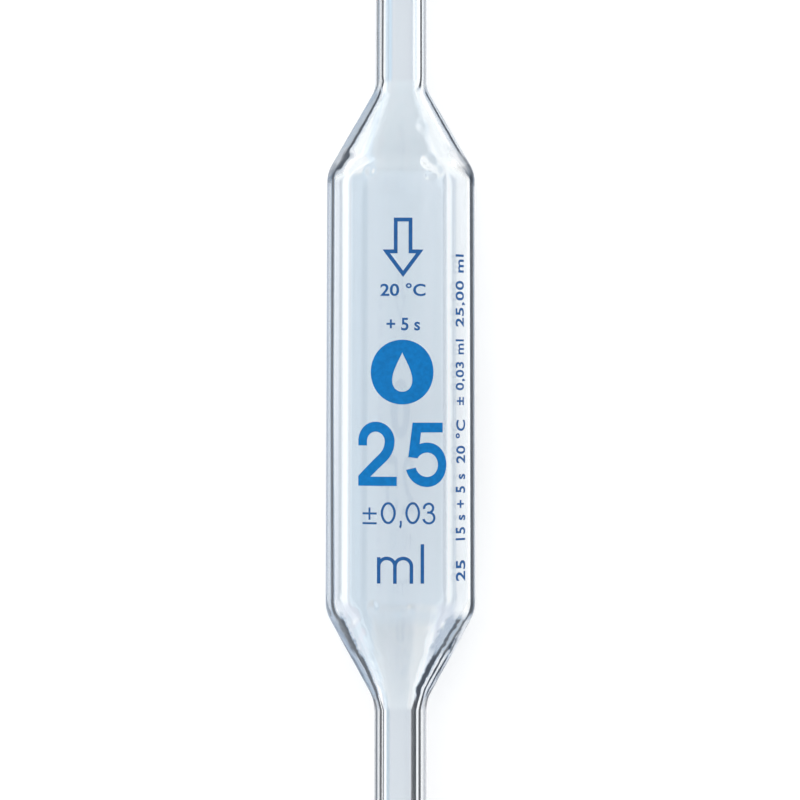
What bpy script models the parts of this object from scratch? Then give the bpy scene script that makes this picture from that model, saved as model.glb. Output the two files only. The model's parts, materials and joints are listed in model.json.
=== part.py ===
"""One-mark bulb pipette for 25 ml, in clear glass.

The whole pipette is a single piece of glass: a suction tube, a bulb and a delivery tube that is drawn out
to a fine jet. Its wall is turned from one section, standing on the jet, and the finished piece is then laid
on its bulb, as it comes to rest on a bench. Metres, +Z up. +Y runs from the jet to the suction end.
"""

import math

import bmesh
import bpy
from mathutils import Matrix, Vector

MM = 0.001
ML = 1e-6

# Capacity, from the jet's tip up to the ring mark
NOMINAL_CAPACITY = 25.0 * ML

# Suction and delivery tubes, drawn from the same tubing
TUBE_OUTER_DIAMETER = 7.3 * MM
TUBE_WALL = 1.15 * MM
SUCTION_TUBE_LENGTH = 214.0 * MM
DELIVERY_TUBE_LENGTH = 219.0 * MM

# Bulb, whose length follows from the capacity
BULB_OUTER_DIAMETER = 21.1 * MM
BULB_WALL = 1.0 * MM

# Shoulders, where the glass gathers a little while the bulb is joined to its tubes
UPPER_SHOULDER_LENGTH = 12.3 * MM
LOWER_SHOULDER_LENGTH = 12.5 * MM
SHOULDER_WALL = 1.3 * MM
UPPER_SHOULDER_ROUNDING = 4.5 * MM
LOWER_SHOULDER_ROUNDING = 5.5 * MM

# Jet, drawn out of the delivery tube and ground square at its tip
JET_LENGTH = 30.0 * MM
JET_TIP_DIAMETER = 2.8 * MM
JET_TIP_BORE = 0.9 * MM
JET_SHOULDER_ROUNDING = 45.0 * MM
JET_TIP_ROUNDING = 0.25 * MM

# Suction end, melted smooth in a flame
FIRE_POLISH_ROUNDING = 0.35 * MM

# Blue enamel fired into the glass: the ring mark, and the band that gives the capacity by its colour
RING_MARK_ABOVE_BULB = 17.0 * MM
RING_MARK_WIDTH = 0.35 * MM
COLOUR_BAND_BELOW_END = 16.0 * MM
COLOUR_BAND_WIDTH = 4.0 * MM

# Fineness of the turned shape
FACETS = 48
ARC_TOLERANCE = 0.008 * MM

GLASS_SLOT = 0
ENAMEL_SLOT = 1


def rounded_line(corners):
    """Points (radius, height) of a line through the corners, each a (radius, height, rounding)."""
    points = []
    for index, (radius, height, rounding) in enumerate(corners):
        corner = Vector((radius, height))
        if rounding == 0.0:
            points.append(corner)
            continue
        before = (Vector(corners[index - 1][:2]) - corner).normalized()
        after = (Vector(corners[(index + 1) % len(corners)][:2]) - corner).normalized()
        half_angle = before.angle(after) / 2
        centre = corner + (before + after).normalized() * (rounding / math.sin(half_angle))
        start = corner + before * (rounding / math.tan(half_angle)) - centre
        turn = math.pi - 2 * half_angle
        widest_step = 2 * math.acos(1.0 - ARC_TOLERANCE / rounding)
        steps = math.ceil(turn / widest_step)
        side = 1.0 if before.cross(after) < 0.0 else -1.0
        for step in range(steps + 1):
            points.append(centre + Matrix.Rotation(side * turn * step / steps, 2) @ start)
    return points


def shoulder_shift(wall, slope):
    """How far along the axis an inner corner lies from the outer one, for the shoulder's own wall."""
    return (SHOULDER_WALL - wall * math.cos(slope)) / math.sin(slope)


class PipetteSection:
    """The wall's section beside the axis, with heights counted from the jet's tip."""

    def __init__(self, bulb_length):
        self.tube_radius = TUBE_OUTER_DIAMETER / 2
        self.bore_radius = self.tube_radius - TUBE_WALL
        self.bulb_radius = BULB_OUTER_DIAMETER / 2
        self.bulb_bore_radius = self.bulb_radius - BULB_WALL
        self.bulb_foot = DELIVERY_TUBE_LENGTH + LOWER_SHOULDER_LENGTH
        self.bulb_head = self.bulb_foot + bulb_length
        self.neck = self.bulb_head + UPPER_SHOULDER_LENGTH
        self.suction_end = self.neck + SUCTION_TUBE_LENGTH
        self.ring_mark = self.neck + RING_MARK_ABOVE_BULB

    def outer_corners(self):
        """Jet to suction end, outside."""
        return [
            (JET_TIP_DIAMETER / 2, 0.0, JET_TIP_ROUNDING),
            (self.tube_radius, JET_LENGTH, JET_SHOULDER_ROUNDING),
            (self.tube_radius, DELIVERY_TUBE_LENGTH, LOWER_SHOULDER_ROUNDING),
            (self.bulb_radius, self.bulb_foot, LOWER_SHOULDER_ROUNDING),
            (self.bulb_radius, self.bulb_head, UPPER_SHOULDER_ROUNDING),
            (self.tube_radius, self.neck, UPPER_SHOULDER_ROUNDING),
            *[(self.tube_radius, height, 0.0) for edges in self.enamel_edges() for height in edges],
            (self.tube_radius, self.suction_end, FIRE_POLISH_ROUNDING),
        ]

    def inner_corners(self):
        """Suction end to jet, inside."""
        rise = self.bulb_radius - self.tube_radius
        upper_slope = math.atan2(rise, UPPER_SHOULDER_LENGTH)
        lower_slope = math.atan2(rise, LOWER_SHOULDER_LENGTH)
        return [
            (self.bore_radius, self.suction_end, FIRE_POLISH_ROUNDING),
            (self.bore_radius, self.neck - shoulder_shift(TUBE_WALL, upper_slope),
             UPPER_SHOULDER_ROUNDING),
            (self.bulb_bore_radius, self.bulb_head - shoulder_shift(BULB_WALL, upper_slope),
             UPPER_SHOULDER_ROUNDING - BULB_WALL),
            (self.bulb_bore_radius, self.bulb_foot + shoulder_shift(BULB_WALL, lower_slope),
             LOWER_SHOULDER_ROUNDING - BULB_WALL),
            (self.bore_radius, DELIVERY_TUBE_LENGTH + shoulder_shift(TUBE_WALL, lower_slope),
             LOWER_SHOULDER_ROUNDING),
            (self.bore_radius, JET_LENGTH, JET_SHOULDER_ROUNDING),
            (JET_TIP_BORE / 2, 0.0, 0.0),
        ]

    def held_volume(self):
        """What the pipette holds from the jet's tip up to the ring mark."""
        line = [point for point in rounded_line(self.inner_corners()) if point.y < self.neck]
        line.insert(0, Vector((self.bore_radius, self.ring_mark)))
        volume = 0.0
        for upper, lower in zip(line, line[1:]):
            squares = upper.x**2 + upper.x * lower.x + lower.x**2
            volume += math.pi / 3 * (upper.y - lower.y) * squares
        return volume

    def enamel_edges(self):
        """Lower and upper edge of each printed ring on the suction tube."""
        band_top = self.suction_end - COLOUR_BAND_BELOW_END
        return [
            (self.ring_mark - RING_MARK_WIDTH / 2, self.ring_mark + RING_MARK_WIDTH / 2),
            (band_top - COLOUR_BAND_WIDTH, band_top),
        ]


def bulb_length_for(capacity):
    """The straight length that makes the bulb hold what its tubes and shoulders don't."""
    trial_length = capacity / (math.pi / 4 * BULB_OUTER_DIAMETER**2)
    trial = PipetteSection(trial_length)
    missing = capacity - trial.held_volume()
    return trial_length + missing / (math.pi * trial.bulb_bore_radius**2)


def turned_mesh(name, section):
    """The section turned about the axis, with a flat facet towards the bench and one towards the reader."""
    shape = bmesh.new()
    outline = rounded_line(section.outer_corners() + section.inner_corners())
    corners = [shape.verts.new((point.x, 0.0, point.y)) for point in outline]
    sides = [shape.edges.new((a, b)) for a, b in zip(corners, corners[1:] + corners[:1])]
    half_facet = math.pi / FACETS
    bmesh.ops.rotate(shape, verts=corners, matrix=Matrix.Rotation(half_facet, 3, "Z"))
    bmesh.ops.spin(shape, geom=corners + sides, axis=(0.0, 0.0, 1.0), cent=(0.0, 0.0, 0.0),
                   angle=2 * math.pi, steps=FACETS, use_merge=True)
    bmesh.ops.recalc_face_normals(shape, faces=shape.faces)
    for face in shape.faces:
        middle = face.calc_center_median()
        outside = Vector(middle[:2]).length > section.bore_radius + TUBE_WALL / 2
        printed = any(low < middle.z < high for low, high in section.enamel_edges())
        face.material_index = ENAMEL_SLOT if outside and printed else GLASS_SLOT
    mesh = bpy.data.meshes.new(name)
    shape.to_mesh(mesh)
    shape.free()
    mesh.shade_smooth()
    mesh.set_sharp_from_angle(angle=math.radians(40.0))
    return mesh


def clear_glass():
    """Soda-lime glass, almost colourless, with a cool cast in its thickness."""
    material = bpy.data.materials.new("clear_glass")
    material.use_nodes = True
    finish = material.node_tree.nodes["Principled BSDF"]
    finish.inputs["Base Color"].default_value = (0.86, 0.92, 0.96, 1.0)
    finish.inputs["Roughness"].default_value = 0.02
    finish.inputs["Metallic"].default_value = 0.0
    finish.inputs["IOR"].default_value = 1.52
    finish.inputs["Transmission Weight"].default_value = 1.0
    return material


def blue_enamel():
    """Blue ceramic ink, fired into the surface."""
    material = bpy.data.materials.new("blue_enamel")
    material.use_nodes = True
    finish = material.node_tree.nodes["Principled BSDF"]
    finish.inputs["Base Color"].default_value = (0.012, 0.19, 0.54, 1.0)
    finish.inputs["Roughness"].default_value = 0.35
    finish.inputs["Metallic"].default_value = 0.0
    return material


def glass_pipette():
    """The pipette, lying on its bulb with its length centred on the origin."""
    section = PipetteSection(bulb_length_for(NOMINAL_CAPACITY))
    mesh = turned_mesh("glass_pipette", section)
    mesh.materials.append(clear_glass())
    mesh.materials.append(blue_enamel())
    pipette = bpy.data.objects.new("glass_pipette", mesh)
    bpy.context.scene.collection.objects.link(pipette)
    flat_radius = section.bulb_radius * math.cos(math.pi / FACETS)
    pipette.rotation_euler = (-math.pi / 2, 0.0, 0.0)
    pipette.location = (0.0, -section.suction_end / 2, flat_radius)
    return pipette


for leftover in list(bpy.data.objects):
    bpy.data.objects.remove(leftover)

glass_pipette()
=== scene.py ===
# %% [markdown]
# # A bulb pipette for 25 ml, in clear glass
#
# A bulb pipette measures one volume: liquid is drawn up to the ring mark and let out through the jet.
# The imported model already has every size, so this script only gives it looks. It turns the glass again,
# with a finer surface, prints it with blue enamel, and sets it on a pale floor under soft light.

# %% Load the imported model
import json
import math

import bmesh
import bpy
from mathutils import Matrix, Vector, noise

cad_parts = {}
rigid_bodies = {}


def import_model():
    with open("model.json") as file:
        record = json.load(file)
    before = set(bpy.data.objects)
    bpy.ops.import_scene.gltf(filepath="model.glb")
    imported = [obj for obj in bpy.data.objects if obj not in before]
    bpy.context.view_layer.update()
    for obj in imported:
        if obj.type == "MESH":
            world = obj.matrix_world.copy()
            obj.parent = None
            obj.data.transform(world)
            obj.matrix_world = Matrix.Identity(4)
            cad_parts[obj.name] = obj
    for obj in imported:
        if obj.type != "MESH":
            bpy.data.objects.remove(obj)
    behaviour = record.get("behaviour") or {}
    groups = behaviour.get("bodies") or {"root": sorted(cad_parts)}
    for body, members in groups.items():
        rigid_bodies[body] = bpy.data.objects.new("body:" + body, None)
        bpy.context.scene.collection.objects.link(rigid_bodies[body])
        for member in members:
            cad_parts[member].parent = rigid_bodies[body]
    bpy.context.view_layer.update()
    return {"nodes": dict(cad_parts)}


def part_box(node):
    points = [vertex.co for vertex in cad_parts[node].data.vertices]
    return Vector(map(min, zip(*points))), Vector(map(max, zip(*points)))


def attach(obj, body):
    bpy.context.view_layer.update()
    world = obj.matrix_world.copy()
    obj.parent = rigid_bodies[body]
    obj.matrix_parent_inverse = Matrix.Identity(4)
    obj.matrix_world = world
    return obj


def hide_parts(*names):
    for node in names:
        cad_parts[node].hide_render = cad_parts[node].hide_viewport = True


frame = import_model()
packed_glass = frame["nodes"]["glass_pipette"]
low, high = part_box("glass_pipette")
MM = 0.001
AXIS_HEIGHT = (low.z + high.z) / 2
print("length", round((high.y - low.y) / MM, 1), "mm, axis", round(AXIS_HEIGHT / MM, 3), "mm up")

# %% [markdown]
# ## The section of the glass
#
# A drawn tube and a blown bulb are round, so their wall is one section turned about the axis. The packed
# model holds that section in each of its columns of corners. One column is kept here and the rest is
# deleted, which saves copying any size by hand.

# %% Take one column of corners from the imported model
PACKED_FACETS = 48
HALF_FACET = math.pi / PACKED_FACETS

# Less than any real distance on the pipette
HAIR = 0.001 * MM


def turn_angle(point):
    """Angle of a point about the pipette's axis, from +X towards +Z."""
    return math.atan2(point.z - AXIS_HEIGHT, point.x)


def distance_out(point):
    """Distance of a point from the pipette's axis."""
    return math.hypot(point.x, point.z - AXIS_HEIGHT)


def packed_section():
    """The closed outline of the wall, as a ring of edges beside the axis."""
    section = bmesh.new()
    section.from_mesh(packed_glass.data)
    bmesh.ops.remove_doubles(section, verts=section.verts, dist=HAIR)
    others = [v for v in section.verts if abs(turn_angle(v.co) - HALF_FACET) > HALF_FACET / 10]
    bmesh.ops.delete(section, geom=others, context="VERTS")
    return section


section = packed_section()
BULB_RADIUS = max(distance_out(v.co) for v in section.verts)
TUBE_RADIUS = max(distance_out(v.co) for v in section.verts if v.co.y > high.y / 2)
widened = [v.co.y for v in section.verts if distance_out(v.co) > TUBE_RADIUS + HAIR]
BULB_FOOT, BULB_HEAD = min(widened), max(widened)
print("section:", len(section.verts), "corners")
print("bulb radius", round(BULB_RADIUS / MM, 3), "mm, tube radius", round(TUBE_RADIUS / MM, 3), "mm")
print("wider than its tubes from", round(BULB_FOOT / MM, 2), "to", round(BULB_HEAD / MM, 2), "mm")

# %% [markdown]
# ## Room for hand work at the shoulders
#
# A shoulder is worked by hand in a flame, so it is never quite true. It needs short edges, or there would
# be nothing to bend. The wall gets one cut where the hand work ends, so that it can't spread along the
# straight glass, and every longer edge between two such cuts is divided.

# %% Cut the walls near the shoulders into short edges
SHOULDER_RISE = 3 * MM
SHOULDER_GRAIN = 0.4 * MM
SHOULDER_REACH = 8.5 * MM


def climb(edge):
    """How much further from the axis one end of an edge is than the other."""
    return abs(distance_out(edge.verts[0].co) - distance_out(edge.verts[1].co))


def place_of(edge):
    """Where along the pipette the middle of an edge lies."""
    return (edge.verts[0].co.y + edge.verts[1].co.y) / 2


def cut(shape, point, normal, **settings):
    """Cuts a shape where it crosses a plane."""
    everything = shape.verts[:] + shape.edges[:] + shape.faces[:]
    bmesh.ops.bisect_plane(shape, geom=everything, plane_co=point, plane_no=normal, **settings)


slopes = [place_of(edge) for edge in section.edges if climb(edge) > SHOULDER_RISE]
UPPER_SHOULDER = sum(y for y in slopes if y > 0) / 2
LOWER_SHOULDER = sum(y for y in slopes if y < 0) / 2
SHOULDERS = (UPPER_SHOULDER, LOWER_SHOULDER)
for shoulder in SHOULDERS:
    for end in (shoulder - SHOULDER_REACH, shoulder + SHOULDER_REACH):
        cut(section, (0, end, 0), (0, 1, 0))
for edge in section.edges[:]:
    cuts = int(edge.calc_length() / SHOULDER_GRAIN)
    if cuts and min(abs(place_of(edge) - shoulder) for shoulder in SHOULDERS) < SHOULDER_REACH:
        bmesh.ops.subdivide_edges(section, edges=[edge], cuts=cuts)
print("shoulders at", [round(shoulder / MM, 1) for shoulder in SHOULDERS], "mm")
print("section with short edges:", len(section.verts), "corners")

# %% [markdown]
# ## Turning the section
#
# The lathe of the glass shop is the spin operator here. A full turn needs use_merge, which welds the last
# column of corners to the first, or the glass would have a seam.

# %% Spin the section about the axis
FINE_FACETS = 256


def turn_about_axis(shape, outline, facets):
    """Spins an outline once round the pipette's axis."""
    bmesh.ops.spin(
        shape, geom=outline, axis=(0, 1, 0), cent=(0, 0, AXIS_HEIGHT),
        angle=2 * math.pi, steps=facets, use_merge=True)
    bmesh.ops.recalc_face_normals(shape, faces=shape.faces)


turn_about_axis(section, section.verts[:] + section.edges[:], FINE_FACETS)
section.normal_update()
print("glass:", len(section.faces), "faces, volume", round(section.calc_volume() * 1e6, 2), "ml")

# %% [markdown]
# ## Marks of the draw and of the hand
#
# Tubing is drawn, which leaves streaks along it, deeper in the bore than outside. The shoulders are blown
# and pulled, which leaves shallow waves, and the seam where a shoulder meets the bulb has short ripples in
# patches. Smooth noise gives all three, read at each corner's place so that they run round without a gap.
# A few small lumps were left where the glass gathered, and as they are few, they are listed one by one.

# %% Move each corner a little in or out
STREAK_IN = 0.012 * MM
STREAK_OUT = 0.003 * MM
STREAKS_INSIDE = 3.0
STREAKS_OUTSIDE = 3.9
FULL_STREAK_RADIUS = 3 * MM
UPPER_WAVE = 0.02 * MM
LOWER_WAVE = 0.04 * MM
WAVE_OUTSIDE = 0.4
WAVE_LENGTH = 4.5 * MM
WAVES_ROUND = 2.2
COARSE_WAVES = 1.7
FINE_WAVES = 4.1
FINE_SHARE = 0.5
FINE_START = Vector((7, 3, 1))
UPPER_RIPPLE = 0.03 * MM
LOWER_RIPPLE = 0.07 * MM
RIPPLE_LENGTH = 1.3 * MM
PATCH_LENGTH = 3.5 * MM
PATCH_SPREAD = 0.1
SEAM_REACH = 3.6 * MM
SEAM_OFFSET = 6 * MM
UPPER_SEAM = UPPER_SHOULDER - SEAM_OFFSET
LOWER_SEAM = LOWER_SHOULDER + SEAM_OFFSET

# Across and along from the middle of the pipette, then radius and depth, all in mm
LUMPS = (
    (3.7, 33.9, 1.3, 0.22),
    (4.8, 32.9, 1.3, 0.24),
    (3.9, 31.9, 1.1, 0.20),
    (2.7, 39.3, 1.2, 0.14),
    (-4.2, 32.6, 0.9, 0.14),
    (0.9, 43.2, 0.7, 0.08),
    (-3.6, -28.6, 0.9, 0.18),
    (-6.3, -29.8, 1.3, 0.16),
    (-5.4, -31.8, 1.1, 0.14),
    (1.4, -28.9, 0.7, 0.10),
    (6.1, -30.8, 1.4, 0.18),
    (7.0, -33.2, 1.3, 0.18),
    (-1.1, -39.4, 0.8, 0.10),
)


def fade(share):
    """1 in the middle of a reach and 0 at its ends, smooth at both."""
    return (1 - min(1.0, share * share)) ** 2


def wave(radial, along):
    """Two sizes of smooth noise, round the glass and along it."""
    spot = Vector((radial.x * WAVES_ROUND, along / WAVE_LENGTH, radial.z * WAVES_ROUND))
    return noise.noise(spot * COARSE_WAVES) + FINE_SHARE * noise.noise(spot * FINE_WAVES + FINE_START)


def ripple(corner):
    """Short ripples, in patches beside the two seams."""
    size = UPPER_RIPPLE * fade((corner.y - UPPER_SEAM) / SEAM_REACH)
    size += LOWER_RIPPLE * fade((corner.y - LOWER_SEAM) / SEAM_REACH)
    patch = max(0.0, noise.noise(corner / PATCH_LENGTH) + PATCH_SPREAD)
    return size * patch * noise.noise(corner / RIPPLE_LENGTH)


def lump_depth(corner):
    """How deep the lumps are at a corner on the side that faces up."""
    if corner.z < AXIS_HEIGHT:
        return 0.0
    depth = 0.0
    for across, along, radius, deepest in LUMPS:
        away = math.hypot(corner.x / MM - across, corner.y / MM - along)
        depth += deepest * MM * fade(away / radius)
    return depth


for vertex in section.verts:
    out = distance_out(vertex.co)
    radial = Vector((vertex.co.x, 0, vertex.co.z - AXIS_HEIGHT)) / out
    in_bore = vertex.normal.dot(radial) < 0
    upper, lower = [fade((vertex.co.y - shoulder) / SHOULDER_REACH) for shoulder in SHOULDERS]
    shift = wave(radial, vertex.co.y) * (upper * UPPER_WAVE + lower * LOWER_WAVE)
    shift *= 1.0 if in_bore else WAVE_OUTSIDE
    streaks, depth = (STREAKS_INSIDE, STREAK_IN) if in_bore else (STREAKS_OUTSIDE, STREAK_OUT)
    shift += noise.noise(radial * streaks) * depth * min(1.0, out / FULL_STREAK_RADIUS)
    if in_bore and upper + lower > 0:
        shift += ripple(vertex.co) - lump_depth(vertex.co)
    vertex.co += radial * shift
print("moved", len(section.verts), "corners")

# %% [markdown]
# ## One piece of glass, three surfaces
#
# The outside is fire-polished, the bore is seen through the wall, and the jet's tip is ground flat. All
# are one mesh, and its material slots are chosen by where a face is and which way it points.

# %% Sort the faces and make the object
OUTSIDE, BORE, GROUND = range(3)
TIP_DEPTH = 0.1 * MM
SHARP_EDGE = math.radians(40)

# How far a normal has to point down the jet, or at the axis, before its face counts as facing that way
DOWN_THE_JET = 0.5
AT_THE_AXIS = 0.3


def surface_of(face):
    """Which of the three surfaces a face belongs to."""
    middle = face.calc_center_median()
    if middle.y < low.y + TIP_DEPTH and -face.normal.y > DOWN_THE_JET:
        return GROUND
    radial = Vector((middle.x, 0, middle.z - AXIS_HEIGHT)).normalized()
    return BORE if -face.normal.dot(radial) > AT_THE_AXIS else OUTSIDE


def mesh_from(name, shape):
    """A mesh of a finished shape."""
    mesh = bpy.data.meshes.new(name)
    shape.to_mesh(mesh)
    shape.free()
    return mesh


def shown(name, data):
    """An object at the origin, in the scene."""
    item = bpy.data.objects.new(name, data)
    bpy.context.scene.collection.objects.link(item)
    return item


section.normal_update()
for face in section.faces:
    face.material_index = surface_of(face)
    face.smooth = True
glass_mesh = mesh_from("glass_body", section)
glass_mesh.set_sharp_from_angle(angle=SHARP_EDGE)
glass_body = shown("glass_body", glass_mesh)
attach(glass_body, "root")
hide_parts("glass_pipette")
print("glass_body:", len(glass_mesh.polygons), "faces")

# %% [markdown]
# ## Small helpers for materials
#
# Every material below is a tree of nodes, so a few short helpers keep the cells readable. They add a node
# and feed it, work on numbers, mix two colours, fill a colour ramp and start a material.

# %% Helpers that build node trees
def feed(tree, node, feeds):
    """Gives each input named a value, or another node's output."""
    for name, source in feeds.items():
        if isinstance(source, bpy.types.NodeSocket):
            tree.links.new(source, node.inputs[name])
        else:
            node.inputs[name].default_value = source


def add(tree, kind, feeds=None, **settings):
    """A new node with its settings and its feeds."""
    node = tree.nodes.new(kind)
    for name, value in settings.items():
        setattr(node, name, value)
    feed(tree, node, feeds or {})
    return node


def maths(tree, operation, *values):
    """The result of one operation on numbers."""
    return add(tree, "ShaderNodeMath", dict(enumerate(values)), operation=operation).outputs["Value"]


def mixed(tree, share, first, second, **settings):
    """Two colours, mixed by the share of the second."""
    feeds = {"Factor": share, 6: first, 7: second}
    return add(tree, "ShaderNodeMix", feeds, data_type="RGBA", **settings).outputs[2]


def ramp(tree, source, stops, interpolation="LINEAR"):
    """A colour ramp fed by source. Each stop is a position and a grey level or a colour."""
    node = add(tree, "ShaderNodeValToRGB", {"Fac": source})
    node.color_ramp.interpolation = interpolation
    while len(node.color_ramp.elements) < len(stops):
        node.color_ramp.elements.new(0.5)
    for element, (position, value) in zip(node.color_ramp.elements, stops):
        element.position = position
        element.color = (*value, 1) if isinstance(value, tuple) else (value, value, value, 1)
    return node.outputs["Color"]


def new_material(name):
    """A material, its tree and its Principled BSDF."""
    material = bpy.data.materials.new(name)
    material.use_nodes = True
    return material, material.node_tree, material.node_tree.nodes["Principled BSDF"]


# %% [markdown]
# ## Looks that change along the pipette
#
# The painted shade of the glass's dark lines and the strips of painted shade in the floor under it differ
# between tube, shoulder and bulb, as walls and widths do. A point's place on the object tells which of them
# it belongs to, and where one ends, its recipe gives way to the next one's over a millimetre or two.

# %% Helpers that follow a point's place
def object_point(tree):
    """The place of a point on the object."""
    return add(tree, "ShaderNodeTexCoord").outputs["Object"]


def object_place(tree):
    """The X, Y and Z of a point on the object, as sockets."""
    return add(tree, "ShaderNodeSeparateXYZ", {"Vector": object_point(tree)}).outputs


def span(tree, source, start, end):
    """0 where the source is at start, 1 where it is at end."""
    feeds = {"Value": source, "From Min": start, "From Max": end}
    return add(tree, "ShaderNodeMapRange", feeds).outputs["Result"]


def in_turn(tree, along, make, first, changes):
    """A colour made from the first recipe, which gives way to another at each change. A change is where
    it starts and ends, in mm, and the recipe that follows."""
    colour = make(first)
    for start, end, following in changes:
        colour = mixed(tree, span(tree, along, start * MM, end * MM), colour, make(following))
    return colour


# %% [markdown]
# ## Striae in the glass
#
# Drawn glass has faint cords and streaks along its length, where the melt wasn't quite even. They tint
# the glass by a hair, and roughen and lift its surface by less. All three glass surfaces need them, so
# they are one node group: noise on Object coordinates, stretched along the pipette. It gives a colour, a
# roughness and a height, and so will the enamel's group.

# %% Node group: striae
STREAKS_PER_METRE = (900, 14, 900)
STREAK_DETAIL = 3.0
STREAK_TINTS = ((0.3, (0.935, 0.965, 0.975)), (0.7, (0.965, 0.975, 0.985)))


def new_group(name, taken, kind):
    """A node group that gives a colour, a roughness and a height, and the one thing that it takes."""
    tree = bpy.data.node_groups.new(name, "ShaderNodeTree")
    tree.interface.new_socket(taken, in_out="INPUT", socket_type=kind)
    tree.interface.new_socket("Colour", in_out="OUTPUT", socket_type="NodeSocketColor")
    for given in ("Roughness", "Height"):
        tree.interface.new_socket(given, in_out="OUTPUT", socket_type="NodeSocketFloat")
    return tree, add(tree, "NodeGroupInput").outputs[taken]


def striae_group():
    """A tint, a roughness and a height that all follow streaks along +Y."""
    tree, roughest = new_group("striae", "Roughest", "NodeSocketFloat")
    stretch = add(tree, "ShaderNodeMapping", {"Vector": object_point(tree), "Scale": STREAKS_PER_METRE})
    feeds = {"Vector": stretch.outputs["Vector"], "Scale": 1.0, "Detail": STREAK_DETAIL}
    streaks = add(tree, "ShaderNodeTexNoise", feeds).outputs["Fac"]
    tint = ramp(tree, streaks, STREAK_TINTS)
    rough = maths(tree, "MULTIPLY", streaks, roughest)
    add(tree, "NodeGroupOutput", {"Colour": tint, "Roughness": rough, "Height": streaks})
    return tree


STRIAE = striae_group()
print("node group:", STRIAE.name)

# %% [markdown]
# ## Painted shade for the edges
#
# Clear glass is drawn by its edges: where the wall is seen edge on, light comes from far aside or not at
# all, and dark lines show beside bright ones. Refraction alone gives some of that. The outside paints the
# rest on as shade: a dark surface mixed in by how grazing the view is. Its colour follows how much of it
# shows: a thin veil of painted shade is grey, and bluer on the bulb than on the tubes, and a full line is
# nearly black. Only at the upper seam is the veil pale, a painted light where the gathered glass sends
# light from the sides up to the eye.

# %% Colours of the painted edge shade
# From where least of it shows, at 0, to where nothing else does, at 1
# Painted shade at the glass's edges; the pale colours of the seam's veil are painted light
PAINTED_EDGE_SHADE = (
    (0, (0.25, 0.36, 0.50)), (0.60, (0.22, 0.32, 0.45)), (0.85, (0.05, 0.065, 0.09)),
    (1, (0.04, 0.05, 0.07)),
)
TUBE_EDGE_SHADE = (
    (0, (0.30, 0.31, 0.35)), (0.5, (0.25, 0.26, 0.30)), (0.85, (0.05, 0.055, 0.065)),
    (1, (0.04, 0.05, 0.06)),
)
SEAM_SHADE_AND_LIGHT = (
    (0, (0.85, 0.87, 0.90)), (0.60, (0.80, 0.82, 0.86)), (0.72, (0.42, 0.47, 0.54)),
    (0.90, (0.06, 0.075, 0.10)), (1, (0.04, 0.05, 0.07)),
)

# Where along the pipette one colour gives way to the next, in mm
EDGE_SHADE_CHANGES = (
    (32.8, 34.0, SEAM_SHADE_AND_LIGHT), (35.6, 37.2, PAINTED_EDGE_SHADE), (45.4, 46.8, TUBE_EDGE_SHADE),
    (-40.4, -41.6, TUBE_EDGE_SHADE),
)
print("dark glass changes at", [start for start, end, glass in EDGE_SHADE_CHANGES], "mm")

# %% [markdown]
# ## Lines of the bulb and its shoulders
#
# Bulb, seams and shoulders have walls of different thickness, so each has painted lines of its own. The
# light differs on the two flanks, so each flank has its own too. A flank is a row of stops, from seen head
# on at 0 to seen edge on at 1, and each says how much painted shade shows there. A slide moves the lines
# inwards, or outwards if it is negative, and says where along the pipette that starts and ends, in mm. A
# smudge says how far a fine noise moves them to and fro.

# %% Left and right flanks of the bulb, its seams and its shoulders
def flank(*stops, slide=None, smudge=0.0):
    """The lines of one flank."""
    return stops, slide, smudge


BULB_LINES = (
    flank((0, 0), (0.545, 0), (0.575, 0.62), (0.605, 0.90), (0.65, 0.86), (0.69, 0.60), (0.73, 0.42),
          (0.80, 0.42), (1, 0.30), slide=(0.04, 0.0, -28.0)),
    flank((0, 0), (0.62, 0), (0.66, 0.92), (0.72, 0.92), (0.79, 0.80), (0.84, 0.50), (0.90, 0.10), (1, 0)),
)
UPPER_SEAM_LINES = (
    flank((0, 0), (0.385, 0), (0.415, 0.68), (0.45, 0.74), (0.485, 0.95), (0.53, 0.95), (0.58, 0.88),
          (0.64, 0.75), (0.95, 0.72), (1, 0.50), slide=(-0.10, 33.9, 36.2), smudge=0.02),
    flank((0, 0), (0.44, 0), (0.56, 0.60), (0.60, 0.62), (0.65, 0.74), (0.70, 0.76), (0.75, 0.84),
          (0.82, 0.86), (0.88, 0.76), (1, 0.72), smudge=0.02),
)
UPPER_SHOULDER_LINES = (
    flank((0, 0), (0.535, 0), (0.565, 0.28), (0.595, 0.50), (0.62, 0.95), (0.65, 0.95), (0.69, 0.70),
          (0.75, 0.65), (0.95, 0.62), (1, 0.50), slide=(0.14, 34.0, 43.6), smudge=0.02),
    flank((0, 0), (0.585, 0), (0.635, 0.38), (0.675, 0.50), (0.71, 0.75), (0.74, 0.97), (0.77, 0.97),
          (0.815, 0.45), (0.855, 0.25), (0.925, 0.35), (1, 0.35), slide=(0.10, 34.0, 46.0), smudge=0.02),
)
LOWER_SEAM_LINES = (
    flank((0, 0), (0.42, 0), (0.45, 0.55), (0.48, 0.92), (0.58, 0.84), (0.66, 0.65), (0.90, 0.45),
          (1, 0.20), smudge=0.06),
    flank((0, 0), (0.31, 0), (0.36, 0.40), (0.44, 0.42), (0.475, 0.85), (0.515, 0.88), (0.545, 0.62),
          (0.585, 0.62), (0.61, 0.82), (0.68, 0.88), (0.72, 0.30), (1, 0.10),
          slide=(0.10, -30.2, -34.5), smudge=0.06),
)
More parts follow.
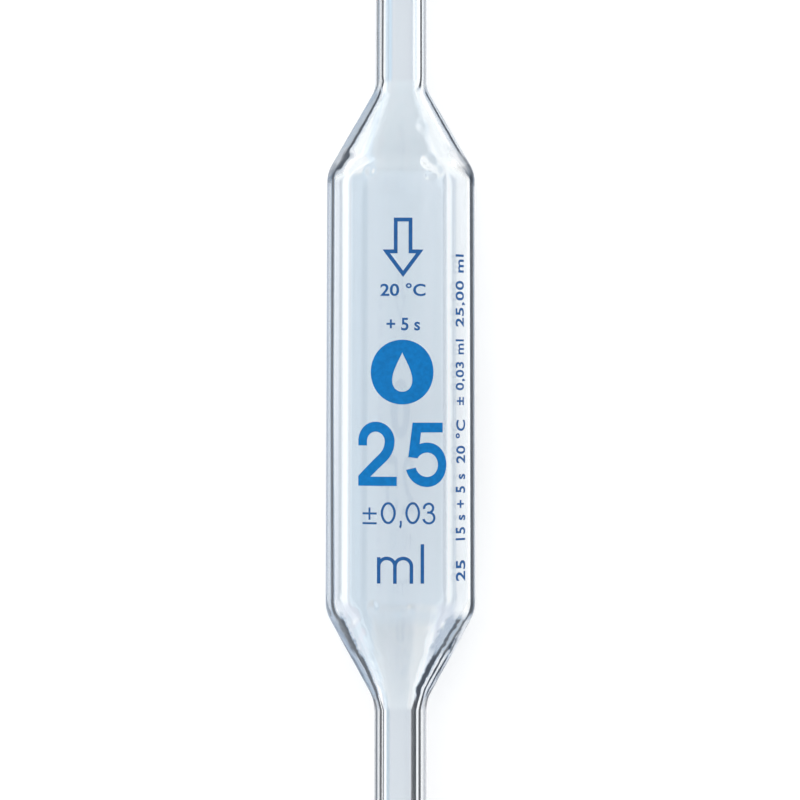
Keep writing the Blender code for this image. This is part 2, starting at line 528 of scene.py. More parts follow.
LOWER_SHOULDER_LINES = (
    flank((0, 0), (0.375, 0), (0.41, 0.55), (0.44, 0.88), (0.51, 0.90), (0.56, 0.62), (0.75, 0.50),
          (0.90, 0.30), (1, 0), slide=(0.035, -35.0, -37.5), smudge=0.025),
    flank((0, 0), (0.335, 0), (0.37, 0.95), (0.44, 0.95), (0.47, 0.20), (0.52, 0.15), (0.54, 0.97),
          (0.58, 0.97), (0.605, 0.20), (0.67, 0.30), (0.70, 0.95), (0.745, 0.95), (0.785, 0.35), (1, 0.10),
          slide=(0.20, -33.0, -43.0), smudge=0.025),
)
print("stops on the bulb's flanks:", [len(stops) for stops, slide, smudge in BULB_LINES])

# %% [markdown]
# ## Lines of the tubes
#
# A tube's wall is thick for its width, so more painted lines of shade run along it, and closer together. At
# the necks most of them slide outwards, as the glass does, to meet the lines of the shoulders.

# %% Left and right flanks of the tubes
SUCTION_TUBE_LINES = (
    flank((0, 0), (0.288, 0), (0.302, 0.95), (0.335, 0.95), (0.37, 0.70), (0.41, 0.42), (0.465, 0.32),
          (0.53, 0.45), (0.57, 0.55), (0.61, 0.90), (0.65, 0.80), (0.70, 0.30), (1, 0.10),
          slide=(-0.155, 46.9, 45.2)),
    flank((0, 0), (0.33, 0), (0.375, 0.97), (0.415, 0.97), (0.465, 0.10), (0.49, 0), (0.53, 0.20),
          (0.58, 0.50), (0.68, 0.40), (0.85, 0.15), (1, 0)),
)
DELIVERY_TUBE_LINES = (
    flank((0, 0), (0.218, 0), (0.234, 0.90), (0.256, 0.90), (0.272, 0), (0.283, 0), (0.298, 0.90),
          (0.37, 0.90), (0.42, 0.40), (0.47, 0.20), (0.53, 0.55), (0.60, 0.84), (0.66, 0.70), (0.75, 0.25),
          (1, 0.12), slide=(-0.11, -42.7, -40.8)),
    flank((0, 0), (0.078, 0), (0.10, 0.92), (0.195, 0.95), (0.215, 0.08), (0.262, 0.10), (0.295, 0.93),
          (0.36, 0.93), (0.40, 0.12), (0.46, 0), (0.52, 0.31), (0.70, 0.43), (0.85, 0.18), (1, 0),
          slide=(-0.09, -42.7, -40.8)),
)

# Where along the pipette the lines give way to others, in mm
LINE_CHANGES = (
    (32.4, 33.6, UPPER_SEAM_LINES), (35.6, 37.2, UPPER_SHOULDER_LINES), (45.1, 46.2, SUCTION_TUBE_LINES),
    (-29.0, -30.4, LOWER_SEAM_LINES), (-34.2, -35.6, LOWER_SHOULDER_LINES),
    (-40.4, -41.6, DELIVERY_TUBE_LINES),
)
print("lines change at", [start for start, end, lines in LINE_CHANGES], "mm")

# %% [markdown]
# ## Drawing the painted lines
#
# A Layer Weight tells how grazing the view is, and each flank is a ramp over that. The two flanks meet on
# top of the glass, where there are no lines, and one stretch of the pipette gives way to the next. The
# painted shade shows only to rays that come from outside, so that each line is drawn once.

# %% Nodes for the lines
FLANK_CHANGE = 2.0
SMUDGE_SCALE = 900.0


def painted_edge_lines(tree):
    """How much painted edge shade the outside shows, and its colour."""
    place = object_place(tree)
    facing = add(tree, "ShaderNodeLayerWeight", {"Blend": 0.5}).outputs["Facing"]
    feeds = {"Vector": object_point(tree), "Scale": SMUDGE_SCALE}
    smudges = add(tree, "ShaderNodeTexNoise", feeds).outputs["Fac"]

    def on_one_flank(side):
        """Lines of a left or a right flank."""
        stops, slide, smudge = side
        seen = facing
        if slide:
            inwards, start, end = slide
            slid = span(tree, place["Y"], start * MM, end * MM)
            seen = maths(tree, "MULTIPLY_ADD", slid, inwards, seen)
        if smudge:
            to_and_fro = maths(tree, "SUBTRACT", smudges, 0.5)
            seen = maths(tree, "MULTIPLY_ADD", to_and_fro, 2 * smudge, seen)
        return ramp(tree, seen, stops, "EASE")

    def on_both_flanks(lines):
        """Lines of the left flank, which give way to those of the right one."""
        left, right = lines
        return in_turn(tree, place["X"], on_one_flank, left, ((-FLANK_CHANGE, FLANK_CHANGE, right),))

    drawn = in_turn(tree, place["Y"], on_both_flanks, BULB_LINES, LINE_CHANGES)
    colour = in_turn(tree, place["Y"], lambda stops: ramp(tree, drawn, stops), PAINTED_EDGE_SHADE, EDGE_SHADE_CHANGES)
    from_inside = add(tree, "ShaderNodeNewGeometry").outputs["Backfacing"]
    return maths(tree, "MULTIPLY", drawn, maths(tree, "SUBTRACT", 1.0, from_inside)), colour


print("flanks meet within", FLANK_CHANGE, "mm of the middle")

# %% [markdown]
# ## Clear glass
#
# The outside, the bore and the ground tip are the same glass, with the same striae laid on. Only the
# outside mixes in the painted edge shade, and only the tip is rough. Shadow rays pass all three, or the
# floor under the glass would be as dark as under wood.

# %% Materials of the glass
GLASS_IOR = 1.52
SHADOW_TINT = (0.93, 0.95, 0.97, 1)
STRIAE_LIFT = 0.004 * MM
DARK_ROUGHNESS = 0.6
POLISHED = 0.004
GROUND_ROUGH = 0.7


def lay_on(tree, finish, group, taken, lift):
    """Lets a group set the colour, the roughness and the fine height of a finish."""
    layer = add(tree, "ShaderNodeGroup", taken, node_tree=group).outputs
    bump = add(tree, "ShaderNodeBump", {"Distance": lift, "Height": layer["Height"]})
    feed(tree, finish, {
        "Base Color": layer["Colour"], "Roughness": layer["Roughness"], "Normal": bump.outputs["Normal"]})


def mixed_surfaces(tree, share, first, second):
    """Two surfaces, mixed by the share of the second."""
    return add(tree, "ShaderNodeMixShader", {"Fac": share, 1: first, 2: second}).outputs["Shader"]


def clear_glass(name, roughest, edged=False):
    """Glass with faint striae, and with painted dark lines of shade at its edges if it is an outside."""
    material, tree, glass = new_material(name)
    feed(tree, glass, {"IOR": GLASS_IOR, "Transmission Weight": 1.0})
    lay_on(tree, glass, STRIAE, {"Roughest": roughest}, STRIAE_LIFT)
    surface = glass.outputs["BSDF"]
    if edged:
        # Painted shade: a dark surface mixed into the outside by how grazing the view is
        share, colour = painted_edge_lines(tree)
        feeds = {"Base Color": colour, "Roughness": DARK_ROUGHNESS, "Specular IOR Level": 0.0}
        dark = add(tree, "ShaderNodeBsdfPrincipled", feeds)
        surface = mixed_surfaces(tree, share, surface, dark.outputs["BSDF"])
    let_pass = add(tree, "ShaderNodeBsdfTransparent", {"Color": SHADOW_TINT})
    shadow_ray = add(tree, "ShaderNodeLightPath").outputs["Is Shadow Ray"]
    surface = mixed_surfaces(tree, shadow_ray, surface, let_pass.outputs["BSDF"])
    tree.links.new(surface, tree.nodes["Material Output"].inputs["Surface"])
    return material


glass_mesh.materials.append(clear_glass("polished_glass", POLISHED, edged=True))
glass_mesh.materials.append(clear_glass("bore_glass", POLISHED))
glass_mesh.materials.append(clear_glass("ground_glass", GROUND_ROUGH))
print("glass materials:", [m.name for m in glass_mesh.materials])

# %% [markdown]
# ## Blue enamel
#
# The print is a ceramic ink, pressed through a fine screen and fired until it bites into the glass. It is
# a strong blue, a little uneven in depth, with the screen's grain just visible in its gloss. Both inks
# below share that grain, so it is a node group too.

# %% Node group and materials: fired enamel
INK_DEPTH_SCALE = 1600.0
INK_DEPTHS = ((0.3, 1.12), (0.7, 0.9))
GRAIN_SCALE = 9000.0
GRAIN_ROUGHNESS = ((0.3, 0.28), (0.7, 0.46))
GRAIN_LIFT = 0.004 * MM
INK_SPECULAR = 0.1


def enamel_group():
    """Uneven colour, gloss and height of ink that was pressed through a screen."""
    tree, ink = new_group("fired_enamel", "Ink", "NodeSocketColor")
    point = object_point(tree)
    depth = add(tree, "ShaderNodeTexNoise", {"Vector": point, "Scale": INK_DEPTH_SCALE}).outputs["Fac"]
    grain = add(tree, "ShaderNodeTexNoise", {"Vector": point, "Scale": GRAIN_SCALE}).outputs["Fac"]
    colour = mixed(tree, 1.0, ink, ramp(tree, depth, INK_DEPTHS), blend_type="MULTIPLY")
    rough = ramp(tree, grain, GRAIN_ROUGHNESS)
    add(tree, "NodeGroupOutput", {"Colour": colour, "Roughness": rough, "Height": grain})
    return tree


ENAMEL = enamel_group()


def enamel(name, ink):
    """Blue ink, as the enamel group lays it."""
    material, tree, finish = new_material(name)
    finish.inputs["Specular IOR Level"].default_value = INK_SPECULAR
    lay_on(tree, finish, ENAMEL, {"Ink": (*ink, 1)}, GRAIN_LIFT)
    return material


BLUE = enamel("blue_enamel", (0.004, 0.168, 0.47))
DEEP_BLUE = enamel("deep_blue_enamel", (0.020, 0.106, 0.31))
print("enamel:", BLUE.name, DEEP_BLUE.name)

# %% [markdown]
# ## Rings round the suction tube
#
# The ring mark shows where the 25 ml end, and the wide band near the end gives the capacity by its colour.
# Both are thin rings of enamel, so each is a flat rectangle spun about the axis. It starts just below the
# surface, because the fired ink has bitten into the glass.

# %% Spin the ring mark and the colour band
ENAMEL_BITE = 0.02 * MM
ENAMEL_RISE = 0.03 * MM
RING_MARK_ABOVE_BULB = 15.98 * MM
RING_MARK = BULB_HEAD + RING_MARK_ABOVE_BULB
RING_MARK_WIDTH = 0.35 * MM
BAND_BELOW_END = 16 * MM
BAND_TOP = high.y - BAND_BELOW_END
BAND_WIDTH = 4 * MM
RING_FACETS = 128


def printed_piece(name, mesh, ink):
    """A piece of print that rides with the glass."""
    mesh.materials.append(ink)
    mesh.shade_smooth()
    mesh.set_sharp_from_angle(angle=SHARP_EDGE)
    piece = shown(name, mesh)
    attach(piece, "root")
    print(name, "faces:", len(mesh.polygons), "size:", [round(d / MM, 2) for d in piece.dimensions])
    return piece


def enamel_ring(name, lower, upper):
    """A closed band round the suction tube."""
    ring = bmesh.new()
    inner, outer = TUBE_RADIUS - ENAMEL_BITE, TUBE_RADIUS + ENAMEL_RISE
    places = [(inner, lower), (outer, lower), (outer, upper), (inner, upper)]
    corners = [ring.verts.new((out, y, AXIS_HEIGHT)) for out, y in places]
    sides = [ring.edges.new(pair) for pair in zip(corners, corners[1:] + corners[:1])]
    turn_about_axis(ring, corners + sides, RING_FACETS)
    printed_piece(name, mesh_from(name, ring), BLUE)


enamel_ring("ring_mark", RING_MARK - RING_MARK_WIDTH / 2, RING_MARK + RING_MARK_WIDTH / 2)
enamel_ring("colour_band", BAND_TOP - BAND_WIDTH, BAND_TOP)

# %% [markdown]
# ## A pen for the figures
#
# The figures on the bulb are plain sans-serif ones, with strokes of one width, so they can be drawn with
# a flat nib. The nib is an edge as long as the stroke is wide. Extruding it draws a straight, and spinning
# it draws a bend, so each stroke is a clean ribbon. All of it is drawn flat first, in millimetres.

# %% A stroke of the nib
DEGREES_A_STEP = 5
WELD_REACH = 0.001


def corners_of(parts):
    """Only the corners among the parts of a shape."""
    return [part for part in parts if isinstance(part, bmesh.types.BMVert)]


def stroke(nib, start, heading, *moves):
    """A flat ribbon. A number goes straight on, and a (radius, angle) pair bends left, or right if the
    angle is negative. Angles are in degrees, counted from +X."""
    sheet = bmesh.new()
    place, way = Vector((*start, 0)), math.radians(heading)
    left = Vector((-math.sin(way), math.cos(way), 0))
    tips = [sheet.verts.new(place + left * side * nib / 2) for side in (1, -1)]
    front = [sheet.edges.new(tips)]
    for move in moves:
        left = Vector((-math.sin(way), math.cos(way), 0))
        if isinstance(move, tuple):
            radius, turn = move[0], math.radians(move[1])
            centre = place + left * math.copysign(radius, turn)
            steps = math.ceil(abs(move[1]) / DEGREES_A_STEP)
            made = bmesh.ops.spin(
                sheet, geom=tips + front, axis=(0, 0, 1), cent=centre, angle=turn, steps=steps)["geom_last"]
            place = centre + Matrix.Rotation(turn, 3, "Z") @ (place - centre)
            way += turn
        else:
            ahead = Vector((math.cos(way), math.sin(way), 0)) * move
            made = bmesh.ops.extrude_edge_only(sheet, edges=front)["geom"]
            bmesh.ops.translate(sheet, verts=corners_of(made), vec=ahead)
            place += ahead
        tips = corners_of(made)
        front = [part for part in made if isinstance(part, bmesh.types.BMEdge)]
    bmesh.ops.remove_doubles(sheet, verts=sheet.verts, dist=WELD_REACH)
    return sheet


def keep_side(sheet, point, outward):
    """Cuts a flat sheet along a line and keeps what lies behind it."""
    cut(sheet, (*point, 0), (*outward, 0), clear_outer=True)


print("a straight stroke has", len(stroke(1, (0, 0), 0, 5).faces), "face")

# %% [markdown]
# ## From flat strokes to enamel on a bulb
#
# Each stroke gets the enamel's thickness. Strokes of one figure overlap where they join, so a Boolean
# union makes them one body, as one print of ink is. The figure is then fitted to its place, cut into
# narrow strips across the bulb, and bent round it. Without those cuts a flat face would stay flat and
# sink into the glass. The reader looks a little from the jet's side, and sees every line of the print
# level. So ink is moved a little towards the suction end where the bulb falls away.

# %% Thicken, join, fit and bend
BEND_GRAIN = 0.4
CUT_SLACK = 0.0005
READING_LEAN = math.radians(7.5)


def thicken(sheet):
    """Gives a flat sheet the thickness of the print, in mm."""
    made = bmesh.ops.extrude_face_region(sheet, geom=sheet.faces[:])["geom"]
    bmesh.ops.translate(sheet, verts=corners_of(made), vec=(0, 0, (ENAMEL_BITE + ENAMEL_RISE) / MM))
    bmesh.ops.recalc_face_normals(sheet, faces=sheet.faces)


def joined(sheets):
    """One shape of all the sheets, thickened and united."""
    bodies = []
    for sheet in sheets:
        thicken(sheet)
        bodies.append(shown("stroke", mesh_from("stroke", sheet)))
    for other in bodies[1:]:
        weld = bodies[0].modifiers.new("weld", "BOOLEAN")
        weld.operation = "UNION"
        weld.solver = "EXACT"
        weld.object = other
    view = bpy.context.evaluated_depsgraph_get()
    shape = bmesh.new()
    shape.from_object(bodies[0], view)
    for body in bodies:
        bpy.data.meshes.remove(body.data)
    return shape


def fit(shape, left, right, bottom, top):
    """Moves and scales a flat shape into a box on the print, all in mm."""
    for axis, (start, end) in enumerate(((left, right), (bottom, top))):
        lowest = min(v.co[axis] for v in shape.verts)
        highest = max(v.co[axis] for v in shape.verts)
        for vertex in shape.verts:
            share = (vertex.co[axis] - lowest) / (highest - lowest)
            vertex.co[axis] = start + share * (end - start)
    return shape


def bend_round_bulb(shape):
    """Cuts a flat shape into strips and lays it round the bulb, turning millimetres into metres."""
    edges = [v.co.x for v in shape.verts]
    for strip in range(math.ceil(min(edges) / BEND_GRAIN), math.ceil(max(edges) / BEND_GRAIN)):
        cut(shape, (strip * BEND_GRAIN, 0, 0), (1, 0, 0), dist=CUT_SLACK)
    for vertex in shape.verts:
        angle = vertex.co.x * MM / BULB_RADIUS
        out = BULB_RADIUS - ENAMEL_BITE + vertex.co.z * MM
        across, up = out * math.sin(angle), out * math.cos(angle)
        along = vertex.co.y * MM + (BULB_RADIUS - up) * math.tan(READING_LEAN)
        vertex.co = (across, along, AXIS_HEIGHT + up)


def print_on_bulb(name, shapes, ink):
    """Bends flat shapes round the bulb and makes them one piece."""
    sheet = bmesh.new()
    for shape in shapes:
        bend_round_bulb(shape)
        part = mesh_from("part", shape)
        sheet.from_mesh(part)
        bpy.data.meshes.remove(part)
    bmesh.ops.triangulate(sheet, faces=[face for face in sheet.faces if len(face.verts) > 4])
    return printed_piece(name, mesh_from(name, sheet), ink)


# %% [markdown]
# ## The capacity: 25
#
# The two large figures are what the user looks for. The 2 is a bend over the top, a long bend down to the
# left and a base. The 5 is a bar, a leaning stem and a wide bowl. They are drawn at the size of the real
# ones, and then fitted to the boxes that the print leaves for them.

# %% Draw and print the large figures
BOLD = 1.42
BAR = 1.39
BASE = 1.3


def figure_two():
    """A back that is cut off at the left and at the foot, and a base."""
    back = stroke(BOLD, (0.70, 5.70), 90, 0.61, (2.06, -180), (3.19, -47), 5.4)
    keep_side(back, (0, 0), (-1, 0))
    keep_side(back, (0, 0.1), (0, -1))
    base = stroke(BASE, (0, 0.65), 0, 5.85)
    return joined([back, base])


def figure_five():
    """A bar, a leaning stem that is cut off at the top, and a bowl."""
    bar = stroke(BAR, (1.08, 8.39), 0, 4.60)
    stem = stroke(BAR, (1.75, 9.08), -97.1, 4.98)
    keep_side(stem, (0, 9.05), (0, 1))
    bowl = stroke(BOLD, (1.33, 4.70), 50, (2.42, -307))
    return joined([bowl, stem, bar])


print_on_bulb(
    "capacity_figures",
    [fit(figure_two(), -6.24, -0.54, -12.12, -3.14), fit(figure_five(), 0.75, 6.80, -12.27, -3.27)],
    BLUE)

# %% [markdown]
# ## The tolerance and the unit
#
# The smaller figures say how far the measured volume may be out, and the unit stands below them. They are
# drawn with a fine nib. A nought is an oval of four bends, as on a drawing board: two wide ones at the
# sides and two tight ones at the ends.

# %% Draw and print the small figures
FINE = 0.33
FINER = 0.29
COMMA = 0.36
MEDIUM = 0.50


def nought(width, height):
    """An oval whose middle line has the given size."""
    side, bend = width / 2, math.radians(40)
    spare = (height / 2 - side) / (math.cos(bend) + math.sin(bend) - 1)
    wide = side + spare * math.cos(bend)
    tight = wide - spare
    ends = (tight, -100)
    return joined([stroke(FINE, (0, 0), 90, (wide, -40), ends, (wide, -80), ends, (wide, -40))])


def figure_three():
    """Two bends that open to the left, and a short waist between them."""
    upper = stroke(FINE, (0.27, 2.31), 100, (0.66, -255))
    lower = stroke(FINE, (1.10, 1.75), -10, (0.80, -250))
    waist = stroke(FINE, (0.70, 1.765), 0, 0.45)
    return joined([upper, lower, waist])


def comma():
    """A short stroke that bends to the left."""
    return joined([stroke(COMMA, (0.4, 1.0), -90, 0.45, (0.9, -35))])


def plus_or_minus():
    """A plus and the line below it, as two shapes."""
    across = stroke(FINER, (0, 1.35), 0, 2.2)
    upright = stroke(FINER, (1.1, 2.2), -90, 1.75)
    below = stroke(FINER, (0, 0.15), 0, 2.2)
    return joined([across, upright]), joined([below])


def letter_m():
    """A stem and two arches."""
    stem = stroke(MEDIUM, (0.25, 0), 90, 3.8)
    arches = [stroke(MEDIUM, (0.25 + start, 2.3), 90, 0.2, (1.14, -180), 2.5) for start in (0, 2.28)]
    return joined([stem, *arches])


def letter_l():
    """A tall stem."""
    return joined([stroke(MEDIUM, (0, 0), 90, 5.6)])


plus, minus = plus_or_minus()
print_on_bulb(
    "tolerance_figures",
    [
        fit(plus, -5.52, -3.38, -16.85, -15.13), fit(minus, -5.52, -3.38, -17.47, -17.19),
        fit(nought(1.8, 2.8), -2.79, -0.67, -17.42, -14.37), fit(comma(), -0.21, 0.16, -18.02, -16.96),
        fit(nought(1.8, 2.8), 0.65, 2.72, -17.42, -14.37), fit(figure_three(), 3.05, 5.00, -17.49, -14.44),
    ],
    DEEP_BLUE)
print_on_bulb(
    "unit_letters",
    [fit(letter_m(), -3.32, 1.75, -25.68, -21.94), fit(letter_l(), 2.80, 3.30, -25.68, -20.22)],
    DEEP_BLUE)

# %% [markdown]
# ## Plain signs above the figures
#
# Above the figures come an arrow that points to the jet, so that the pipette is held the right way up, and
# a drop for liquids. The arrow's outline is a face that is inset, with its middle taken out. The drop is
# left bare in a blue disc: two loops with as many corners each are bridged, and that is the disc.

# %% Draw and print the arrow and the drop
SIGN_MIDDLE = 0.3
ARROW_LINE = 0.55
DISC_RADIUS = 4.6
DROP_WIDTH, DROP_HEIGHT = 2.0, 5.6
DROP_SHARPNESS = 1.4
LOOP_CORNERS = 96


def arrow_sign():
    """An arrow that points along -Y, in outline."""
    sheet = bmesh.new()
    right_side = [(0.0, 0.0), (3.0, 3.9), (1.35, 3.9), (1.35, 8.4)]
    outline = right_side + [(-x, y) for x, y in reversed(right_side[1:])]
    face = sheet.faces.new([sheet.verts.new((x, y, 0)) for x, y in outline])
    face.normal_update()
    bmesh.ops.inset_individual(sheet, faces=[face], thickness=ARROW_LINE, use_even_offset=True)
    bmesh.ops.delete(sheet, geom=[face], context="FACES_ONLY")
    return joined([sheet])


def drop_point(turn):
    """A point on a drop's outline, from its tip at no turn."""
    across = DROP_WIDTH * math.sin(turn) * math.sin(turn / 2) ** DROP_SHARPNESS
    return Vector((across, DROP_HEIGHT / 2 * math.cos(turn), 0))


def drop_sign():
    """A disc with a drop left out."""
    sheet = bmesh.new()
    bmesh.ops.create_circle(sheet, segments=LOOP_CORNERS, radius=DISC_RADIUS)
    drop = bmesh.ops.create_circle(sheet, segments=LOOP_CORNERS, radius=1.0)["verts"]
    for corner in drop:
        corner.co = drop_point(math.atan2(corner.co.x, corner.co.y) % (2 * math.pi))
    bmesh.ops.bridge_loops(sheet, edges=sheet.edges[:])
    return joined([sheet])


arrow = fit(arrow_sign(), SIGN_MIDDLE - 2.9, SIGN_MIDDLE + 2.9, 17.22, 25.65)
print_on_bulb("flow_arrow", [arrow], DEEP_BLUE)
badge = fit(drop_sign(), SIGN_MIDDLE - 4.6, SIGN_MIDDLE + 4.4, -0.72, 8.38)
print_on_bulb("drop_badge", [badge], BLUE)

# %% [markdown]
# ## Small print
#
# The smallest lines give plain facts of use: the temperature and the waiting time, and up the side both
# again, with the volume and its tolerance. At this size a typeface does better than a nib, so they are
# text objects. A text is made a mesh first, so that it can be fitted and bent like the strokes.

# %% Set and print the small lines
BOLDER = 0.018
LETTER_FINENESS = 5
LETTER_WELD = 0.0001
SIDE_SPACING = 1.1


def set_text(words, spacing=1.0):
    """A flat, thickened text as a bmesh, in mm."""
    line = bpy.data.curves.new("line", "FONT")
    line.body = words
    line.space_character = spacing
    line.resolution_u = LETTER_FINENESS
    line.offset = BOLDER
    line.extrude = (ENAMEL_BITE + ENAMEL_RISE) / MM / 2
    item = shown("line", line)
    shape = bmesh.new()
    view = bpy.context.evaluated_depsgraph_get()
    mesh = bpy.data.meshes.new_from_object(item.evaluated_get(view))
    shape.from_mesh(mesh)
    bpy.data.meshes.remove(mesh)
    bpy.data.curves.remove(line)
    bmesh.ops.translate(shape, verts=shape.verts, vec=(0, 0, -min(v.co.z for v in shape.verts)))
    bmesh.ops.remove_doubles(shape, verts=shape.verts, dist=LETTER_WELD)
    return shape


def upwards(shape):
    """Turns a line of text so that it reads up the bulb."""
    bmesh.ops.rotate(shape, verts=shape.verts, cent=(0, 0, 0), matrix=Matrix.Rotation(math.pi / 2, 3, "Z"))
    return shape


print_on_bulb("temperature_line", [fit(set_text("20 °C"), -2.9, 3.5, 14.53, 16.37)], DEEP_BLUE)
print_on_bulb("waiting_line", [fit(set_text("+ 5 s"), -2.01, 2.70, 9.67, 11.47)], DEEP_BLUE)

# Words and the stretch of the bulb that they fill, in mm
SIDE_LINE = (
    ("25", -25.5, -22.6), ("15 s + 5 s", -19.8, -10.5), ("20 °C", -9.0, -2.9),
    ("± 0,03 ml", -0.8, 8.5), ("25,00 ml", 10.3, 20.6),
)
SIDE_LEFT, SIDE_RIGHT = 8.6, 10.8
side_words = []
for words, start, end in SIDE_LINE:
    side_words.append(fit(upwards(set_text(words, SIDE_SPACING)), SIDE_LEFT, SIDE_RIGHT, start, end))
print_on_bulb("side_line", side_words, DEEP_BLUE)

# %% [markdown]
# ## A floor that shows the glass
#
# Clear glass takes its colours from what lies behind it. On plain white it would vanish, so where a
# photographer would lay strips of card below it, the floor has strips of painted shade: a pale blue-grey
# one under the bulb, where it stands for the shade under the glass, and darker ones further out, which the
# edges of the glass pick up as grey lines. They are in the floor's colour, but only for rays that come
# through the glass or off it. The camera itself sees plain white, and the object's shadow.

# %% Floor
FLOOR_HALF = 3.0
FLOOR_GAP = 0.05 * MM
STRIP_REACH = 50.0
WHITE = (1.0, 1.0, 1.0)
PALE = (0.95, 0.95, 0.96)
LEFT_BLUE_SHADE = (0.70, 0.79, 0.87)
PALE_BLUE_SHADE = (0.86, 0.92, 0.98)
UPPER_SHOULDER_SHADE = (0.785, 0.835, 0.88)
LOWER_SHOULDER_SHADE = (0.83, 0.865, 0.90)
TUBE_SHADE = (0.745, 0.775, 0.82)
SKY = (0.60, 0.74, 0.86)
BLUE_GREY = (0.50, 0.61, 0.71)
LINE = (0.48, 0.53, 0.60)
SHADE = (0.66, 0.70, 0.76)
LILAC = (0.74, 0.77, 0.85)
FLOOR_GLOW = 0.25
PAPER_SHADE = 0.85
PAPER_ROUGHNESS = 0.9

# Painted shade strips, seen only through or off the glass: each colour from the left edge of its strip to
# the right one, in mm from the axis
UNDER_BULB = (
    (-STRIP_REACH, -15.0, WHITE), (-14.2, -11.9, LILAC), (-11.5, -10.8, LINE), (-10.4, -9.15, WHITE),
    (-8.9, -8.7, SHADE), (-8.3, -5.6, LEFT_BLUE_SHADE), (-5.0, 6.8, PALE_BLUE_SHADE), (7.1, 7.35, LINE), (7.6, 8.5, WHITE),
    (8.8, 9.5, SHADE), (9.9, 14.4, PALE), (16.0, STRIP_REACH, WHITE),
)
UNDER_UPPER_SHOULDER = (
    (-STRIP_REACH, -7.2, WHITE), (-6.2, -5.4, LEFT_BLUE_SHADE), (-4.6, 4.4, UPPER_SHOULDER_SHADE),
    (6.0, STRIP_REACH, WHITE),
)
UNDER_LOWER_SHOULDER = (
    (-STRIP_REACH, -15.5, WHITE), (-14.0, -8.5, LILAC), (-7.5, -5.0, LEFT_BLUE_SHADE), (-4.4, 1.6, LOWER_SHOULDER_SHADE),
    (2.6, 5.0, WHITE), (6.5, 9.5, LILAC), (11.0, STRIP_REACH, WHITE),
)
UNDER_SUCTION_TUBE = (
    (-STRIP_REACH, -8.8, WHITE), (-8.0, -5.0, BLUE_GREY), (-4.4, -3.2, SKY), (-2.4, 3.0, TUBE_SHADE),
    (3.3, 3.8, SHADE), (4.2, 6.0, WHITE), (6.4, 8.5, PALE_BLUE_SHADE), (9.0, STRIP_REACH, WHITE),
)
UNDER_DELIVERY_TUBE = (
    (-STRIP_REACH, -6.0, PALE), (-5.2, -3.8, BLUE_GREY), (-3.0, 3.0, TUBE_SHADE), (3.6, STRIP_REACH, PALE),
)

# Where along the floor one row of painted strips gives way to the next, in mm
PAINTED_STRIP_CHANGES = (
    (36.0, 38.5, UNDER_UPPER_SHOULDER), (48.0, 49.5, UNDER_SUCTION_TUBE),
    (-28.6, -30.6, UNDER_LOWER_SHOULDER), (-40.8, -42.2, UNDER_DELIVERY_TUBE),
)


def floor_material():
    """White for the camera, and strips of painted shade for rays that meet the glass first."""
    material, tree, paper = new_material("pale_floor")
    place = object_place(tree)
    across = span(tree, place["X"], -STRIP_REACH * MM, STRIP_REACH * MM)

    def laid(painted_strips):
        """A row of painted strips, side by side."""
        stops = []
        for left, right, colour in painted_strips:
            stops += [((side + STRIP_REACH) / (2 * STRIP_REACH), colour) for side in (left, right)]
        return ramp(tree, across, stops)

    # Painted shade: rays through or off the glass see these strips instead of the floor's white
    strips = in_turn(tree, place["Y"], laid, UNDER_BULB, PAINTED_STRIP_CHANGES)
    ray = add(tree, "ShaderNodeLightPath").outputs
    by_glass = maths(tree, "MAXIMUM", ray["Is Transmission Ray"], ray["Is Glossy Ray"])
    colour = mixed(tree, by_glass, (*WHITE, 1), strips)
    shaded = add(tree, "ShaderNodeVectorMath", {"Vector": colour, "Scale": PAPER_SHADE}, operation="SCALE")
    seen = maths(tree, "MAXIMUM", ray["Is Camera Ray"], by_glass)
    feed(tree, paper, {
        "Base Color": shaded.outputs["Vector"], "Roughness": PAPER_ROUGHNESS, "Specular IOR Level": 0.0,
        "Emission Color": colour, "Emission Strength": maths(tree, "MULTIPLY", seen, FLOOR_GLOW),
    })
    return material


floor_shape = bmesh.new()
bmesh.ops.create_grid(floor_shape, x_segments=1, y_segments=1, size=FLOOR_HALF)
bmesh.ops.translate(floor_shape, verts=floor_shape.verts, vec=(0, 0, -FLOOR_GAP))
floor_mesh = mesh_from("floor", floor_shape)
floor_mesh.materials.append(floor_material())
shown("floor", floor_mesh)
print("floor:", 2 * FLOOR_HALF, "m across")

# %% [markdown]
# ## Soft light from all sides
#
# A white tent round the object gives even light with no hard edges in the glass: it is a world that grows
# brighter overhead. One large lamp gives the shadow a side, and two low strips draw a bright line along
# each flank. The lamps stay weak, so that a colour renders about as it is written.

# %% World and lamps
HORIZON_LIGHT = 0.55
OVERHEAD_LIGHT = 0.95


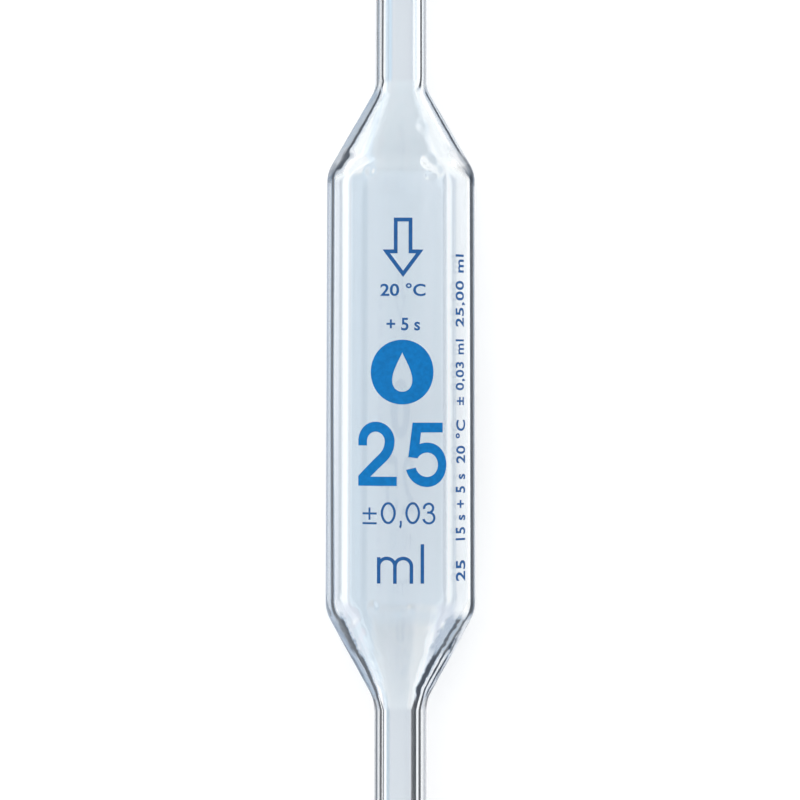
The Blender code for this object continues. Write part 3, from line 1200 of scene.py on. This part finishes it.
def white_tent():
    """A white world that is plain white for the camera."""
    world = bpy.data.worlds.new("white_tent")
    world.use_nodes = True
    tree = world.node_tree
    generated = add(tree, "ShaderNodeTexCoord").outputs["Generated"]
    up = add(tree, "ShaderNodeSeparateXYZ", {"Vector": generated}).outputs["Z"]
    feeds = {"Value": up, "To Min": HORIZON_LIGHT, "To Max": OVERHEAD_LIGHT}
    light = add(tree, "ShaderNodeMapRange", feeds).outputs["Result"]
    camera_ray = add(tree, "ShaderNodeLightPath").outputs["Is Camera Ray"]
    strength = add(tree, "ShaderNodeMix", {"Factor": camera_ray, 2: light, 3: 1.0}, data_type="FLOAT")
    feed(tree, tree.nodes["Background"], {"Color": (*WHITE, 1), "Strength": strength.outputs[0]})
    return world


def soft_lamp(name, place, target, length, width, radiance):
    """A rectangular lamp whose long side runs along Y. Its power follows from how bright its face is."""
    light = bpy.data.lights.new(name, "AREA")
    light.shape = "RECTANGLE"
    light.size, light.size_y = length, width
    light.energy = radiance * math.pi * length * width
    back = (Vector(place) - Vector(target)).normalized()
    along = (Vector((0, 1, 0)) - back * back.y).normalized()
    lamp = shown(name, light)
    lamp.rotation_euler = Matrix((along, back.cross(along), back)).transposed().to_euler()
    lamp.location = place
    lamp.visible_camera = False
    return lamp


bpy.context.scene.world = white_tent()
overhead = soft_lamp("overhead", (-0.4, 0.3, 1.3), (0, 0, 0), length=1.0, width=1.0, radiance=1.6)
overhead.visible_glossy = overhead.visible_transmission = False
soft_lamp("left_strip", (-0.085, 0, 0.011), (0, 0, 0.011), length=0.9, width=0.02, radiance=1.5)
soft_lamp("right_strip", (0.35, 0, 0.055), (0, 0, 0.055), length=1.2, width=0.11, radiance=1.0)

# %% [markdown]
# ## Camera
#
# The camera stands over the bulb and looks down on it, a little from the jet's side, as the reference
# view does. Its lens follows from its distance and from how much of the pipette it has to take in, which
# is the bulb with a short stretch of each tube.

# %% Camera
SENSOR_WIDTH = 36.0
CAMERA_DISTANCE = 0.5
CAMERA_LEAN = READING_LEAN
VIEW_WIDTH = 113.6 * MM
CAMERA_TURN = math.radians(0.07)
VIEW_MIDDLE = Vector((-0.03 * MM, 1.29 * MM, AXIS_HEIGHT))

lens = bpy.data.cameras.new("camera")
lens.sensor_width = SENSOR_WIDTH
lens.lens = SENSOR_WIDTH * CAMERA_DISTANCE / VIEW_WIDTH
camera = shown("camera", lens)
camera.location = VIEW_MIDDLE + CAMERA_DISTANCE * Vector((0, -math.sin(CAMERA_LEAN), math.cos(CAMERA_LEAN)))
camera.rotation_euler = (CAMERA_LEAN, 0, CAMERA_TURN)
bpy.context.scene.camera = camera
bpy.context.scene.view_settings.view_transform = "Standard"
print("lens", round(lens.lens, 1), "mm")
